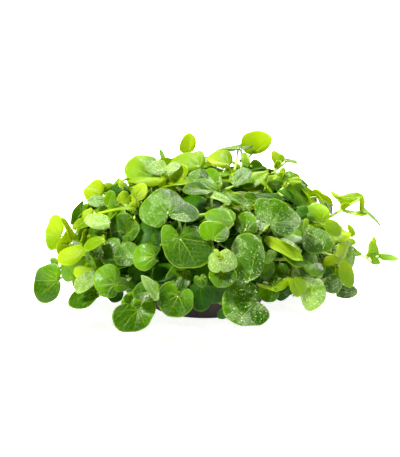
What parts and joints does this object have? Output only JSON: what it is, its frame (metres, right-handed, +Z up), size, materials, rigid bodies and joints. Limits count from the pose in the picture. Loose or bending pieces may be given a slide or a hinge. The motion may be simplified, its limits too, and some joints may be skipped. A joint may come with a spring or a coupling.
{
  "type": "potted broccoli microgreens",
  "caption": "Low pot of soil with a dense dome of broccoli seedlings, their notched leaves leaning out over the rim; a decorative or kitchen herb prop that stands on its flat foot.",
  "frame": {"origin": "middle of the pot's foot, on the surface it stands on", "axes": "+Z up along the pot's axis, -Y towards the side that the picture shows, +X to the right of that side, along the widest way across the foliage"},
  "size_m": [0.1215, 0.0949, 0.0543],
  "materials": {
    "pot": "matt dark brown, smooth",
    "soil": "dark moist compost, crumbly",
    "leaf_full": "smooth mid-green leaf with pale veins, satin",
    "leaf_young": "thin bright yellow-green leaf, satin, lets light through",
    "leaf_wet": "mid-green leaf misted with fine water drops",
    "leaf_dark": "dark green inner leaf, satin"
  },
  "bodies": {
    "root": {"pot": "pot", "seedling_back_1_1": "leaf_full", "seedling_back_1_2": "leaf_full", "seedling_back_1_3": "leaf_full", "seedling_back_1_4": "leaf_full", "seedling_back_2_1": "leaf_full", "seedling_back_2_2": "leaf_full", "seedling_back_2_3": "leaf_full", "seedling_back_3_1": "leaf_full", "seedling_back_3_2": "leaf_full", "seedling_big_heart": "leaf_full", "seedling_bright_pair": "leaf_young", "seedling_centre_dark": "leaf_full", "seedling_cup_leaf": "leaf_full", "seedling_cupped": "leaf_wet", "seedling_curled": "leaf_young", "seedling_dark_crown": "leaf_full", "seedling_dark_left": "leaf_full", "seedling_far_right": "leaf_young", "seedling_forked": "leaf_young", "seedling_inner_crown": "leaf_dark", "seedling_inner_left": "leaf_dark", "seedling_inner_right": "leaf_dark", "seedling_left_cluster": "leaf_full", "seedling_left_kidney": "leaf_full", "seedling_left_ledge": "leaf_young", "seedling_left_shelf": "leaf_full", "seedling_left_wet": "leaf_wet", "seedling_left_yellow": "leaf_young", "seedling_lemon_edge": "leaf_young", "seedling_lemon_top": "leaf_young", "seedling_low_butterfly": "leaf_full", "seedling_low_dark": "leaf_full", "seedling_low_heart": "leaf_full", "seedling_low_left": "leaf_full", "seedling_low_right": "leaf_wet", "seedling_low_right_small": "leaf_full", "seedling_low_wet": "leaf_wet", "seedling_right_dark": "leaf_full", "seedling_right_drop": "leaf_young", "seedling_right_fold": "leaf_wet", "seedling_right_lemon": "leaf_young", "seedling_right_low_wet": "leaf_wet", "seedling_right_mist": "leaf_wet", "seedling_right_sprig": "leaf_young", "seedling_right_tall": "leaf_young", "seedling_right_upper": "leaf_young", "seedling_right_wet": "leaf_wet", "seedling_right_young": "leaf_young", "seedling_round_left": "leaf_full", "seedling_slant_wet": "leaf_wet", "seedling_top_left": "leaf_young", "seedling_top_middle": "leaf_young", "seedling_top_round": "leaf_young", "seedling_top_sprig": "leaf_young", "seedling_upper_left": "leaf_young", "seedling_wet_crown": "leaf_wet", "seedling_wet_pair": "leaf_wet", "soil": "soil"}
  },
  "joints": []
}
